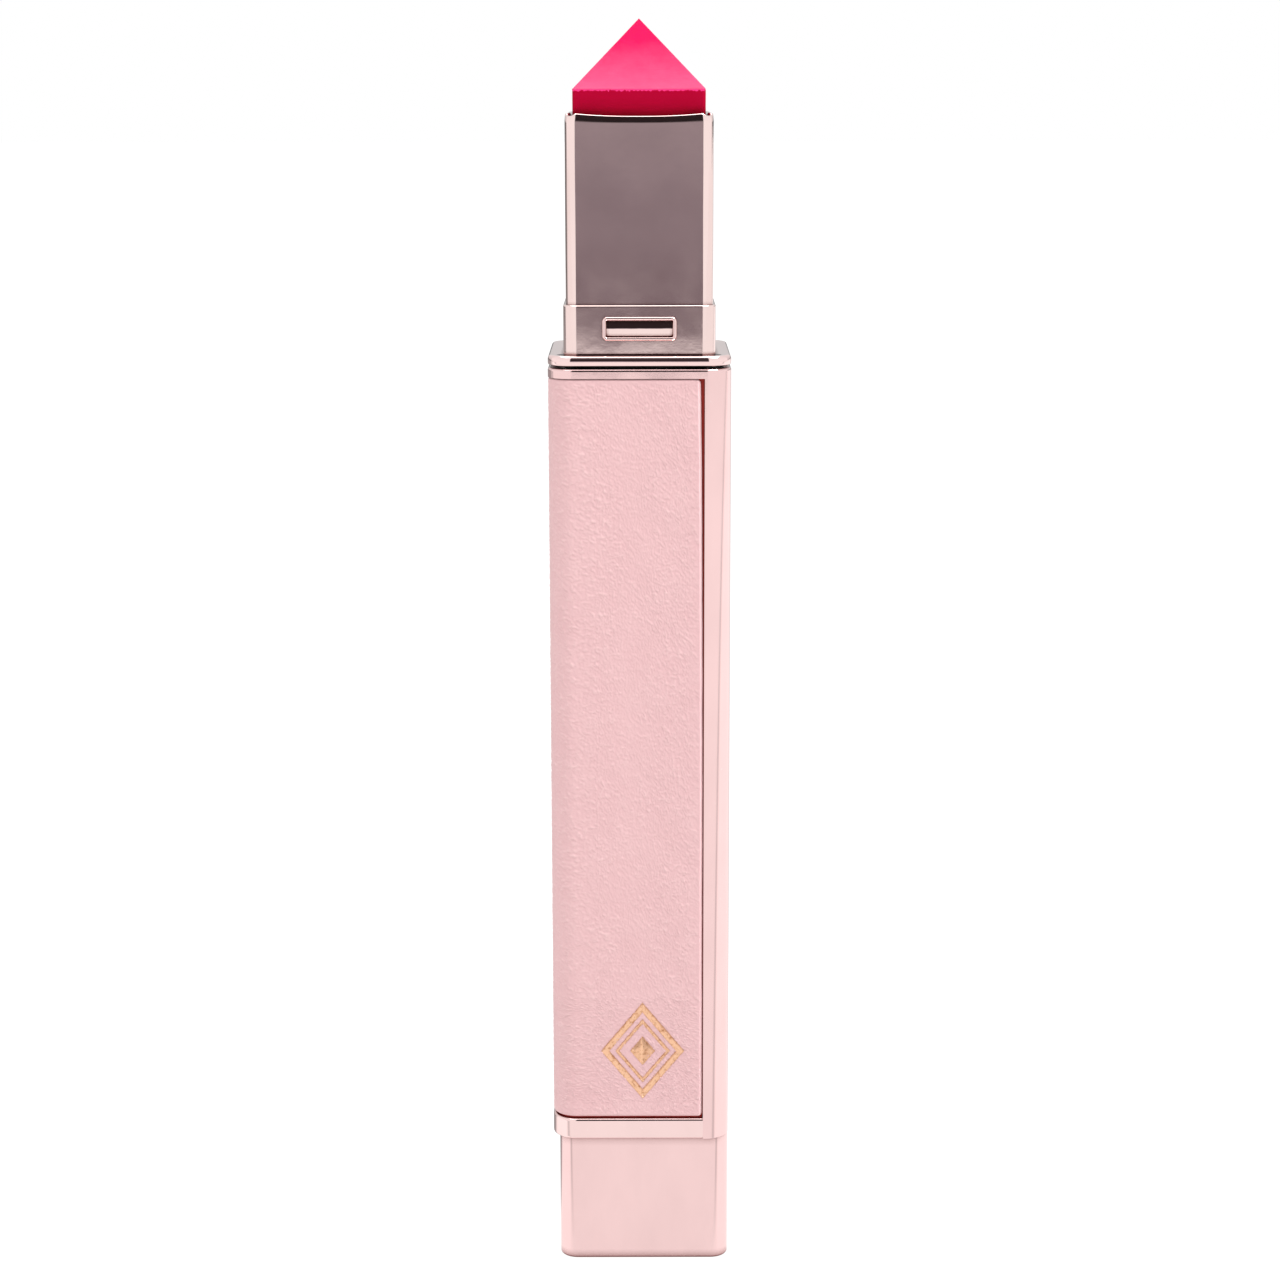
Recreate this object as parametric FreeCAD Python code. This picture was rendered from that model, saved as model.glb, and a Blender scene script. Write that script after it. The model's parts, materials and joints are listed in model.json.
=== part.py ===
import FreeCAD, Part

import math
import os

from FreeCAD import Vector

# Square twist-up lipstick case, cap off, bullet partly raised.
# Millimetres, +Z up, origin at the centre of the flat underside, front towards -Y.

# ---- Base: outer shell, wrap and trim --------------------------------------
CASE_W = 14.0            # outer width of the base and of the flange plate
CASE_R = 1.9             # vertical corner radius of the base
BASE_TOP = 72.0          # top face of the base
FOOT_TOP = 10.4          # bare foot below the raised band
FOOT_SETBACK = 0.5       # foot stands back from the band at front, left and rear
FOOT_RELIEF = 0.02       # all but flush with the spine on the right
BAND_TOP = 12.1          # lower trim band
RECESS_DEPTH = 0.6       # recess that takes the wrap and the lower band
RECESS_TOP = 71.25       # underside of the shell's own top band
SPINE_X = 4.95           # the bare spine starts here and takes in the right side
CAVITY_W = 11.4          # square cavity of the shell
CAVITY_R = 0.8
SHELL_EDGE = 0.22        # softened outer edges

LEATHER_T = 0.4
LEATHER_Z0 = BAND_TOP + 0.18
LEATHER_Z1 = RECESS_TOP - 0.04
LEATHER_SEAM = 0.14      # gap between wrap and spine
LEATHER_EDGE = 0.14      # turned-in edges of the wrap
BACKING_SEAM = 0.06

EMBLEM_X = 0.15          # centre of the foil ornament on the front
EMBLEM_Z = 17.8
EMBLEM_T = 0.05
LOZENGE_HALF_X = 3.3     # outer lozenge of the ornament
LOZENGE_HALF_Z = 4.0
LOZENGE_STEPS = (1.0, 0.8, 0.66, 0.56, 0.3)   # frame, fine line, solid centre

# ---- Base: inside ----------------------------------------------------------
PLUG_T = 1.6             # plug that closes the underside
LABEL_R = 4.1
LABEL_GAP = 0.03         # label stays clear of the resting plane
LABEL_RECESS = 0.15
PAD_T = 0.2              # adhesive pad under the weight
WEIGHT_W = 11.2
WEIGHT_TOP = 27.6
SPACER_WALL = 0.9
HOUSING_Z0 = 54.5        # mechanism housing: floor, ring chamber, bearing bore
HOUSING_FLOOR = 56.5
HOUSING_LEDGE = 62.0
CHAMBER_R = 5.1

# ---- Swivel: neck, ring, O-ring, washer ------------------------------------
NECK_R = 4.5
RUN_CLEAR = 0.05         # radial clearance of every running fit
NECK_Z0 = 60.5
SWIVEL_GAP = 0.2
FLANGE_T = 0.75
FLANGE_Z0 = BASE_TOP + SWIVEL_GAP
FLANGE_Z1 = FLANGE_Z0 + FLANGE_T
WASHER_T = 0.18
WASHER_R = 5.5
RING_Z0 = 61.0
RING_T = 0.9
RING_IN_R = 4.0
RING_OUT_R = 4.95
RING_GAP = 5.0           # mouth of the snap ring
ORING_Z = 66.85
ORING_CORD_R = 0.4
ORING_GROOVE_R = 3.74
ORING_GROOVE_H = 0.9

# ---- Sleeve above the flange -----------------------------------------------
SLEEVE_W = 11.2
SLEEVE_WALL = 0.45
SLEEVE_R = 0.85
SLEEVE_TOP = 91.05
COLLAR_W = 11.6
COLLAR_R = 1.05
COLLAR_TOP = 76.7
HEAD_T = 0.5             # square head of the neck inside the sleeve

CATCH_Z = 74.93          # centre of the cap-catch window
CATCH_W = 5.64           # outside of the raised bezel
CATCH_H = 1.81
CATCH_R = 0.32
BEZEL_RIM = 0.23
BEZEL_PROUD = 0.12
THROAT_WALL = 0.1
CATCH_FLOOR_T = 0.14     # thickness behind the deepest part of the recess
CATCH_RAMP_T = 0.5       # thickness at the foot of the ramp

# ---- Twist-up mechanism ----------------------------------------------------
SCREW_R = 2.0
SCREW_CORE_R = 1.3
SCREW_TOP = 72.4
SCREW_KEY = 2.4          # square shank that stops the screw turning
SCREW_HEAD_R = 3.4
SCREW_HEAD_T = 1.0
LEAD = 6.0               # rise for one full turn
STARTS = 2
GROOVE_W = 1.4           # groove width measured along the axis
GROOVE_Z0 = 57.6
PIN_Z = 66.0             # follower pins with the bullet as shown
PIN_R = 0.5
PIN_TIP = 1.45           # radial distance of the pin tips from the axis
PIN_BACK = 2.74
STEM_R = 2.8
STEM_BORE_R = SCREW_R + RUN_CLEAR
STEM_Z0 = 65.0
STEM_CROWN = 1.0         # closed upper end of the stem
SPIGOT_R = 1.5
SPIGOT_H = 0.6

CUP_Z0 = 81.2
CUP_FLOOR = 0.8
CUP_TOP = 85.7
CUP_WALL = 0.45
CUP_R = 0.45
BULLET_W = 10.0
BULLET_R = 0.22
BULLET_SHOULDER = 92.75  # where the four facets start
BULLET_TIP = 98.0

SLEEVE_BORE_W = SLEEVE_W - 2 * SLEEVE_WALL
CUP_W = SLEEVE_BORE_W - 2 * RUN_CLEAR
PLUG_W = CUP_W - 2 * CUP_WALL
BORE_R = NECK_R + RUN_CLEAR
STEM_GUIDE_R = STEM_R + RUN_CLEAR
REACH = CASE_W           # half size of the boxes used for trimming


def block(x0, x1, y0, y1, z0, z1):
    """Plain box between two corners."""
    return Part.makeBox(x1 - x0, y1 - y0, z1 - z0, Vector(x0, y0, z0))


def cylinder(radius, z0, z1):
    """Upright cylinder on the main axis."""
    return Part.makeCylinder(radius, z1 - z0, Vector(0, 0, z0))


def upright_edges(solid):
    """Straight edges that run along Z."""
    found = []
    for edge in solid.Edges:
        box = edge.BoundBox
        if box.XLength < 1e-6 and box.YLength < 1e-6:
            found.append(edge)
    return found


def level_edges(solid, z):
    """Edges that lie in the plane at height z."""
    found = []
    for edge in solid.Edges:
        box = edge.BoundBox
        if abs(box.ZMin - z) < 1e-6 and abs(box.ZMax - z) < 1e-6:
            found.append(edge)
    return found


def prism(width, radius, z0, z1):
    """Square prism on the main axis with rounded vertical corners."""
    half = width / 2.0
    solid = block(-half, half, -half, half, z0, z1)
    return solid.makeFillet(radius, upright_edges(solid))


def soften(solid, radius, heights):
    """Round the edges that lie in the given level planes."""
    for z in heights:
        solid = solid.makeFillet(radius, level_edges(solid, z))
    return solid


def left_of(solid, x):
    """Keep what lies on the left of the plane at x."""
    return solid.common(block(-REACH, x, -REACH, REACH, -1.0, BULLET_TIP + 1.0))


def c_wrap(outer_w, outer_r, inner_w, inner_r, end_x, z0, z1, edge=0.0):
    """C-shaped skin that covers the front, left and rear faces."""
    body = prism(outer_w, outer_r, z0, z1)
    if edge > 0:
        body = soften(body, edge, (z0, z1))
    body = left_of(body, end_x)
    return body.cut(prism(inner_w, inner_r, z0 - 1.0, z1 + 1.0))


def make_base_shell():
    """Plated shell: foot, spine and top band in one moulding."""
    half = CASE_W / 2.0
    foot_half = half - FOOT_SETBACK
    foot_r = CASE_R - FOOT_SETBACK
    foot = block(-foot_half, half - FOOT_RELIEF, -foot_half, foot_half, 0.0, FOOT_TOP)
    foot = foot.makeFillet(foot_r, upright_edges(foot))
    foot = soften(foot, SHELL_EDGE, (0.0,))
    recess_w = CASE_W - 2 * RECESS_DEPTH
    recess_r = CASE_R - RECESS_DEPTH
    upper = prism(CASE_W, CASE_R, FOOT_TOP, BASE_TOP)
    upper = soften(upper, SHELL_EDGE, (BASE_TOP,))
    around = block(-REACH, SPINE_X, -REACH, REACH, FOOT_TOP, RECESS_TOP)
    around = around.cut(prism(recess_w, recess_r, FOOT_TOP, RECESS_TOP))
    upper = upper.cut(around)
    shell = foot.fuse(upper)
    shell = shell.cut(prism(CAVITY_W, CAVITY_R, -1.0, BASE_TOP + 1.0))
    return shell.removeSplitter()


def make_lower_band():
    """Raised trim band under the wrap."""
    recess_w = CASE_W - 2 * RECESS_DEPTH
    recess_r = CASE_R - RECESS_DEPTH
    return c_wrap(CASE_W, CASE_R, recess_w, recess_r, SPINE_X, FOOT_TOP, BAND_TOP, SHELL_EDGE)


def make_wrap_backing():
    """Thin card that stiffens the wrap."""
    outer_w = CASE_W - 2 * LEATHER_T
    recess_w = CASE_W - 2 * RECESS_DEPTH
    return c_wrap(outer_w, CASE_R - LEATHER_T, recess_w, CASE_R - RECESS_DEPTH,
                  SPINE_X - BACKING_SEAM, BAND_TOP, RECESS_TOP)


def lozenge(scale):
    """Lozenge-shaped face on the front plane."""
    front = -CASE_W / 2.0
    half_x = LOZENGE_HALF_X * scale
    half_z = LOZENGE_HALF_Z * scale
    corners = [Vector(EMBLEM_X - half_x, front, EMBLEM_Z),
               Vector(EMBLEM_X, front, EMBLEM_Z - half_z),
               Vector(EMBLEM_X + half_x, front, EMBLEM_Z),
               Vector(EMBLEM_X, front, EMBLEM_Z + half_z)]
    return Part.Face(Part.makePolygon(corners + corners[:1]))


def make_emblem():
    """Foil ornament: a broad lozenge frame, a fine one and a solid centre."""
    depth = Vector(0, EMBLEM_T, 0)
    frame_out, frame_in, line_out, line_in, centre = LOZENGE_STEPS
    broad = lozenge(frame_out).cut(lozenge(frame_in)).extrude(depth)
    fine = lozenge(line_out).cut(lozenge(line_in)).extrude(depth)
    return Part.makeCompound([broad, fine, lozenge(centre).extrude(depth)])


def make_leather_wrap(emblem):
    """Faux leather skin, stamped where the foil sits."""
    outer_w = CASE_W - 2 * LEATHER_T
    skin = c_wrap(CASE_W, CASE_R, outer_w, CASE_R - LEATHER_T,
                  SPINE_X - LEATHER_SEAM, LEATHER_Z0, LEATHER_Z1, LEATHER_EDGE)
    return skin.cut(emblem)


def make_base_plug():
    """Plug that closes the underside, with a seat for the label."""
    plug = prism(CAVITY_W, CAVITY_R, 0.0, PLUG_T)
    return plug.cut(cylinder(LABEL_R, -1.0, LABEL_RECESS))


def make_spacer_tube():
    """Square tube that carries the mechanism above the weight."""
    outer = prism(CAVITY_W, CAVITY_R, WEIGHT_TOP, HOUSING_Z0)
    inner_w = CAVITY_W - 2 * SPACER_WALL
    return outer.cut(prism(inner_w, CAVITY_R / 2, WEIGHT_TOP - 1.0, HOUSING_Z0 + 1.0))


def key_block(z0, z1):
    """Square key shared by the screw and the housing floor."""
    half = SCREW_KEY / 2.0
    return block(-half, half, -half, half, z0, z1)


def make_housing():
    """Fixed body with the bearing bore of the swivel."""
    body = prism(CAVITY_W, CAVITY_R, HOUSING_Z0, BASE_TOP)
    body = body.cut(cylinder(BORE_R, HOUSING_LEDGE - 1.0, BASE_TOP + 1.0))
    body = body.cut(cylinder(CHAMBER_R, HOUSING_FLOOR, HOUSING_LEDGE))
    return body.cut(key_block(HOUSING_Z0 - 1.0, HOUSING_FLOOR + 1.0))


def screw_section(z):
    """Cross-section of the screw: a round core with one lobe for each start."""
    groove = 2 * math.pi * GROOVE_W / LEAD
    lobe = 2 * math.pi / STARTS - groove
    points = []
    for start in range(STARTS):
        middle = 2 * math.pi * (start + 0.5) / STARTS
        points.append((SCREW_R, middle, lobe))
        points.append((SCREW_CORE_R, middle + math.pi / STARTS, groove))
    edges = []
    last = None
    for radius, middle, sweep in points + points[:1]:
        arc = [Vector(radius * math.cos(a), radius * math.sin(a), z)
               for a in (middle - sweep / 2, middle, middle + sweep / 2)]
        if last is not None:
            edges.append(Part.makeLine(last, arc[0]))
        if len(edges) < 2 * len(points):
            edges.append(Part.Arc(*arc).toShape())
        last = arc[2]
    return Part.Wire(Part.sortEdges(edges)[0])


def make_screw_thread():
    """Twisted upper part of the screw, with the grooves open at the top."""
    height = SCREW_TOP - GROOVE_Z0
    spine = Part.Wire(Part.makeLine(Vector(0, 0, 0), Vector(0, 0, height)))
    guide = Part.Wire(Part.makeHelix(LEAD, height, SCREW_R))
    sweep = Part.BRepOffsetAPI.MakePipeShell(spine)
    sweep.setAuxiliarySpine(guide, True, 0)
    sweep.add(screw_section(0.0))
    sweep.build()
    sweep.makeSolid()
    thread = sweep.shape()
    thread.translate(Vector(0, 0, GROOVE_Z0))
    thread.rotate(Vector(0, 0, 0), Vector(0, 0, 1), 360.0 * (GROOVE_Z0 - PIN_Z) / LEAD)
    return thread


def make_lead_screw():
    """Grooved screw keyed into the housing floor."""
    thread = make_screw_thread()
    root = cylinder(SCREW_R, HOUSING_FLOOR, GROOVE_Z0)
    shank = key_block(HOUSING_Z0, HOUSING_FLOOR)
    head = cylinder(SCREW_HEAD_R, HOUSING_Z0 - SCREW_HEAD_T, HOUSING_Z0)
    return thread.fuse([root, shank, head])


def make_flange_plate():
    """Square plate between the base and the sleeve."""
    plate = prism(CASE_W, CASE_R, FLANGE_Z0, FLANGE_Z1)
    plate = soften(plate, SHELL_EDGE, (FLANGE_Z0, FLANGE_Z1))
    return plate.cut(cylinder(NECK_R, FLANGE_Z0 - 1.0, FLANGE_Z1 + 1.0))


def catch_box(width, height, radius, y0, y1):
    """Rounded rectangle in the front face, extruded from y0 to y1."""
    solid = block(-width / 2, width / 2, y0, y1, CATCH_Z - height / 2, CATCH_Z + height / 2)
    edges = [edge for edge in solid.Edges if edge.BoundBox.YLength > (y1 - y0) / 2
             and edge.BoundBox.XLength < 1e-6 and edge.BoundBox.ZLength < 1e-6]
    return solid.makeFillet(radius, edges)


def mirrored(solid):
    """Same shape on the rear face."""
    copy = solid.copy()
    copy.rotate(Vector(0, 0, 0), Vector(0, 0, 1), 180)
    return copy


OPEN_W = CATCH_W - 2 * BEZEL_RIM
OPEN_H = CATCH_H - 2 * BEZEL_RIM
OPEN_R = CATCH_R - BEZEL_RIM / 2


def catch_window():
    """Cutter for both catch windows through the collar and the sleeve."""
    width = OPEN_W + 2 * THROAT_WALL
    height = OPEN_H + 2 * THROAT_WALL
    front = catch_box(width, height, OPEN_R + THROAT_WALL / 2, -COLLAR_W, -SLEEVE_BORE_W / 2)
    return front.fuse(mirrored(front))


def make_catch_bezel():
    """Raised eyelet that lines a catch window."""
    face = -COLLAR_W / 2
    rim = catch_box(CATCH_W, CATCH_H, CATCH_R, face - BEZEL_PROUD, face)
    front_edges = [edge for edge in rim.Edges if edge.BoundBox.YMax < face - BEZEL_PROUD + 1e-6]
    rim = rim.makeFillet(BEZEL_PROUD * 0.6, front_edges)
    throat = catch_box(OPEN_W + 2 * THROAT_WALL, OPEN_H + 2 * THROAT_WALL,
                       OPEN_R + THROAT_WALL / 2, face, -SLEEVE_BORE_W / 2)
    opening = catch_box(OPEN_W, OPEN_H, OPEN_R, -COLLAR_W, 0)
    return rim.fuse(throat).cut(opening).removeSplitter()


def make_catch_plate():
    """Bottom of the catch: deep at the top, a ramp in the lower half."""
    inner = -SLEEVE_BORE_W / 2
    low = CATCH_Z - OPEN_H / 2
    high = CATCH_Z + OPEN_H / 2
    points = [(inner, low),
              (inner - CATCH_RAMP_T, low),
              (inner - CATCH_RAMP_T * 0.85, low + OPEN_H * 0.2),
              (inner - CATCH_FLOOR_T, CATCH_Z),
              (inner - CATCH_FLOOR_T, high),
              (inner, high)]
    corners = [Vector(-OPEN_W / 2, y, z) for y, z in points]
    face = Part.Face(Part.makePolygon(corners + corners[:1]))
    ramp = face.extrude(Vector(OPEN_W, 0, 0))
    return ramp.common(catch_box(OPEN_W, OPEN_H, OPEN_R, -COLLAR_W, 0))


def make_collar(windows):
    """Thin square collar that the cap closes over."""
    collar = prism(COLLAR_W, COLLAR_R, FLANGE_Z1, COLLAR_TOP)
    collar = soften(collar, (COLLAR_W - SLEEVE_W) * 0.35, (COLLAR_TOP,))
    collar = collar.cut(prism(SLEEVE_W, SLEEVE_R, FLANGE_Z1 - 1.0, COLLAR_TOP + 1.0))
    return collar.cut(windows)


def make_sleeve(windows):
    """Square sleeve around the bullet, with a rolled rim."""
    sleeve = prism(SLEEVE_W, SLEEVE_R, FLANGE_Z1, SLEEVE_TOP)
    sleeve = soften(sleeve, SLEEVE_WALL * 0.55, (SLEEVE_TOP,))
    bore = prism(SLEEVE_BORE_W, CUP_R, FLANGE_Z1 - 1.0, SLEEVE_TOP + 1.0)
    return sleeve.cut(bore).cut(windows)


def make_neck():
    """Turning neck: square head in the sleeve, round tube in the housing."""
    head = prism(SLEEVE_BORE_W, CUP_R, FLANGE_Z1, FLANGE_Z1 + HEAD_T)
    tube = cylinder(NECK_R, NECK_Z0, FLANGE_Z1)
    body = head.fuse(tube)
    body = body.cut(cylinder(STEM_GUIDE_R, NECK_Z0 - 1.0, FLANGE_Z1 + 2.0))
    ring_seat = cylinder(NECK_R + 1.0, RING_Z0, RING_Z0 + RING_T)
    body = body.cut(ring_seat.cut(cylinder(RING_IN_R, RING_Z0, RING_Z0 + RING_T)))
    z0 = ORING_Z - ORING_GROOVE_H / 2
    z1 = ORING_Z + ORING_GROOVE_H / 2
    ring_seat = cylinder(NECK_R + 1.0, z0, z1)
    return body.cut(ring_seat.cut(cylinder(ORING_GROOVE_R, z0, z1)))


def make_retaining_ring():
    """Open snap ring that holds the neck under the housing ledge."""
    ring = cylinder(RING_OUT_R, RING_Z0, RING_Z0 + RING_T)
    ring = ring.cut(cylinder(RING_IN_R, RING_Z0 - 1.0, RING_Z0 + RING_T + 1.0))
    mouth = block(-RING_GAP / 2, RING_GAP / 2, 0, REACH, RING_Z0 - 1.0, RING_Z0 + RING_T + 1.0)
    return ring.cut(mouth)


def make_o_ring():
    """Rubber ring that gives the twist its drag."""
    return Part.makeTorus(ORING_GROOVE_R + ORING_CORD_R, ORING_CORD_R,
                          Vector(0, 0, ORING_Z), Vector(0, 0, 1))


def make_washer():
    """Low-friction washer in the swivel gap."""
    washer = cylinder(WASHER_R, BASE_TOP, BASE_TOP + WASHER_T)
    return washer.cut(cylinder(BORE_R, BASE_TOP - 1.0, BASE_TOP + 1.0))


def pin_rods(tip, back):
    """Two radial rods on opposite sides of the axis."""
    rods = []
    for side in (-1, 1):
        rod = Part.makeCylinder(PIN_R, back - tip, Vector(side * tip, 0, PIN_Z), Vector(side, 0, 0))
        rods.append(rod)
    return Part.makeCompound(rods)


def make_stem():
    """Hollow push stem with the seats of the follower pins."""
    stem = cylinder(STEM_R, STEM_Z0, CUP_Z0)
    stem = stem.cut(cylinder(STEM_BORE_R, STEM_Z0 - 1.0, CUP_Z0 - STEM_CROWN))
    stem = stem.cut(pin_rods(PIN_TIP, STEM_R + 1.0))
    return stem.fuse(cylinder(SPIGOT_R, CUP_Z0, CUP_Z0 + SPIGOT_H))


def make_cup():
    """Square cup that carries the bullet and runs in the sleeve."""
    cup = prism(CUP_W, CUP_R, CUP_Z0, CUP_TOP)
    cup = cup.cut(prism(PLUG_W, CUP_R / 2, CUP_Z0 + CUP_FLOOR, CUP_TOP + 1.0))
    return cup.cut(cylinder(SPIGOT_R, CUP_Z0 - 1.0, CUP_Z0 + SPIGOT_H))


def make_bullet():
    """Square wax bullet with a four-facet tip and a plug that fills the cup."""
    half = BULLET_W / 2.0
    outline = [Vector(-half, -half, CUP_TOP),
               Vector(half, -half, CUP_TOP),
               Vector(half, -half, BULLET_SHOULDER),
               Vector(0, -half, BULLET_TIP),
               Vector(-half, -half, BULLET_SHOULDER)]
    gable = Part.Face(Part.makePolygon(outline + outline[:1])).extrude(Vector(0, BULLET_W, 0))
    cross = gable.copy()
    cross.rotate(Vector(0, 0, 0), Vector(0, 0, 1), 90)
    body = prism(BULLET_W, BULLET_R, CUP_TOP, BULLET_TIP + 1.0).common(gable).common(cross)
    plug = prism(PLUG_W, CUP_R / 2, CUP_Z0 + CUP_FLOOR, CUP_TOP)
    return body.fuse(plug).removeSplitter()


def main():
    """Build every piece and write one STEP file for each."""
    emblem = make_emblem()
    windows = catch_window()
    bezel = make_catch_bezel()
    plate = make_catch_plate()
    weight_z0 = PLUG_T + PAD_T
    parts = {
        "base_shell": make_base_shell(),
        "lower_band": make_lower_band(),
        "leather_wrap": make_leather_wrap(emblem),
        "wrap_backing": make_wrap_backing(),
        "foil_ornament": emblem,
        "base_plug": make_base_plug(),
        "base_label": cylinder(LABEL_R, LABEL_GAP, LABEL_RECESS),
        "weight_pad": prism(CAVITY_W - 2.0, CAVITY_R, PLUG_T, weight_z0),
        "base_weight": prism(WEIGHT_W, CAVITY_R, weight_z0, WEIGHT_TOP),
        "spacer_tube": make_spacer_tube(),
        "mechanism_housing": make_housing(),
        "lead_screw": make_lead_screw(),
        "swivel_washer": make_washer(),
        "turning_neck": make_neck(),
        "friction_o_ring": make_o_ring(),
        "retaining_ring": make_retaining_ring(),
        "flange_plate": make_flange_plate(),
        "sleeve_collar": make_collar(windows),
        "inner_sleeve": make_sleeve(windows),
        "catch_bezel_front": bezel,
        "catch_bezel_rear": mirrored(bezel),
        "catch_plate_front": plate,
        "catch_plate_rear": mirrored(plate),
        "push_stem": make_stem(),
        "follower_pins": pin_rods(PIN_TIP, PIN_BACK),
        "bullet_cup": make_cup(),
        "bullet": make_bullet(),
    }
    os.makedirs("parts", exist_ok=True)
    for name, shape in parts.items():
        shape.exportStep("parts/" + name + ".step")
        box = shape.BoundBox
        print("%-20s solids %d valid %s volume %.2f mm3 z %.2f to %.2f"
              % (name, len(shape.Solids), shape.isValid(), shape.Volume, box.ZMin, box.ZMax))


main()
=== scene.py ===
import json
import math

import bmesh
import bpy
import numpy as np
from mathutils import Matrix, Vector


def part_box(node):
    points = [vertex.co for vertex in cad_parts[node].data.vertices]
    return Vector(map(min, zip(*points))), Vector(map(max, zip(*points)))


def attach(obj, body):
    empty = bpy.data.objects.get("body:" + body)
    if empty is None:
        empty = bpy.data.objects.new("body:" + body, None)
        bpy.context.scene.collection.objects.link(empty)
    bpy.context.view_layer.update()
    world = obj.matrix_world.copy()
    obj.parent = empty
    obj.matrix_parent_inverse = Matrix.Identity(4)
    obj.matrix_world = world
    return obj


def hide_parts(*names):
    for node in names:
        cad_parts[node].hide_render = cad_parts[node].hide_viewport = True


MM = 0.001

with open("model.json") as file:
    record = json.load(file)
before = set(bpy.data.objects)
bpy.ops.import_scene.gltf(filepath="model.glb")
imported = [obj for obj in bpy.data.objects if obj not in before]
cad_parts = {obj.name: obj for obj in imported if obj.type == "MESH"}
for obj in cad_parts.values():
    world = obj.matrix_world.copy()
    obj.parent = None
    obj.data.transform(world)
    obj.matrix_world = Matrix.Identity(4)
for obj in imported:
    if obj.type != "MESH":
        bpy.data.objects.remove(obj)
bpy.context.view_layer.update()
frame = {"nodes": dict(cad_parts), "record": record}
nodes = frame["nodes"]

# ---- Shared sizes, taken from the frame -------------------------------------
wrap_lo, wrap_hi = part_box("leather_wrap")
cup_lo, cup_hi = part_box("bullet_cup")
foil_lo, foil_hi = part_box("foil_ornament")
bullet_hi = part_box("bullet")[1]

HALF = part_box("base_shell")[1].x  # half width of the base
CORNER = 1.9 * MM                 # vertical corner radius of the base
SKIN = 0.4 * MM                   # thickness of the wrap
SHOULDER_Z = 92.75 * MM           # where the facets of the bullet begin


# ---- Noise for mesh detail --------------------------------------------------
NOISE_CELLS = 256
NOISE_GAIN = 1.5


def lattice_noise(x, y, seed):
    """Smooth gradient noise on a plane, about -1 to 1, the same on every run."""
    rng = np.random.default_rng(seed)
    table = rng.permutation(NOISE_CELLS)
    turns = rng.random(NOISE_CELLS) * 2 * math.pi
    xi = np.floor(x).astype(int)
    yi = np.floor(y).astype(int)
    xf = x - xi
    yf = y - yi

    def corner(dx, dy):
        angle = turns[table[(table[(xi + dx) % NOISE_CELLS] + yi + dy) % NOISE_CELLS]]
        return np.cos(angle) * (xf - dx) + np.sin(angle) * (yf - dy)

    u = xf * xf * xf * (xf * (xf * 6 - 15) + 10)
    v = yf * yf * yf * (yf * (yf * 6 - 15) + 10)
    low = corner(0, 0) * (1 - u) + corner(1, 0) * u
    high = corner(0, 1) * (1 - u) + corner(1, 1) * u
    return (low * (1 - v) + high * v) * NOISE_GAIN


def point_noise(x, y, seed):
    """Lattice noise at one point, as a plain number."""
    return float(lattice_noise(np.array(x), np.array(y), seed))


def smoothstep(low, high, value):
    """0 below low, 1 above high, smooth in between."""
    t = np.clip((value - low) / (high - low), 0, 1)
    return t * t * (3 - 2 * t)


# ---- Node helpers -----------------------------------------------------------
MIX_FACTOR, MIX_FIRST, MIX_SECOND = 0, 6, 7   # sockets of a Mix node that blends colours
MIX_RESULT = 2


class Graph:
    """Node tree with short calls for the nodes that this script uses."""

    def __init__(self, tree):
        self.tree = tree

    def node(self, kind, **values):
        """New node; values name its inputs or its settings."""
        made = self.tree.nodes.new(kind)
        for key, value in values.items():
            if key in made.inputs:
                made.inputs[key].default_value = value
            else:
                setattr(made, key, value)
        return made

    def link(self, source, target):
        self.tree.links.new(source, target)

    def calc(self, operation, *values):
        """Math node; each value is a number or a socket."""
        made = self.node("ShaderNodeMath", operation=operation)
        for socket, value in zip(made.inputs, values):
            if isinstance(value, (int, float)):
                socket.default_value = value
            else:
                self.link(value, socket)
        return made.outputs[0]

    def split(self, vector):
        """The X, Y and Z sockets of a vector."""
        made = self.node("ShaderNodeSeparateXYZ")
        self.link(vector, made.inputs[0])
        return made.outputs

    def spread(self, value, low, high, out_low, out_high):
        """Map a value from one range to another."""
        made = self.node("ShaderNodeMapRange")
        for key, number in zip(("From Min", "From Max", "To Min", "To Max"),
                               (low, high, out_low, out_high)):
            made.inputs[key].default_value = number
        self.link(value, made.inputs["Value"])
        return made.outputs["Result"]

    def mix(self, factor, first, second):
        """Blend two colours, each a tuple or a socket, by a value."""
        made = self.node("ShaderNodeMix", data_type="RGBA")
        for index, value in ((MIX_FIRST, first), (MIX_SECOND, second)):
            if isinstance(value, tuple):
                made.inputs[index].default_value = (*value, 1)
            else:
                self.link(value, made.inputs[index])
        self.link(factor, made.inputs[MIX_FACTOR])
        return made.outputs[MIX_RESULT]

    def ramp(self, value, stops):
        """Colour ramp; a stop is its place with a grey level or a colour."""
        made = self.node("ShaderNodeValToRGB")
        self.link(value, made.inputs[0])
        points = made.color_ramp.elements
        while len(points) < len(stops):
            points.new(0.5)
        for point, (place, level) in zip(points, stops):
            point.position = place
            point.color = (*level, 1) if isinstance(level, tuple) else (level, level, level, 1)
        return made.outputs["Color"]

    def camera_ray(self):
        """1 for what the camera sees directly, 0 for what surfaces reflect."""
        return self.node("ShaderNodeLightPath").outputs["Is Camera Ray"]


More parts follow.
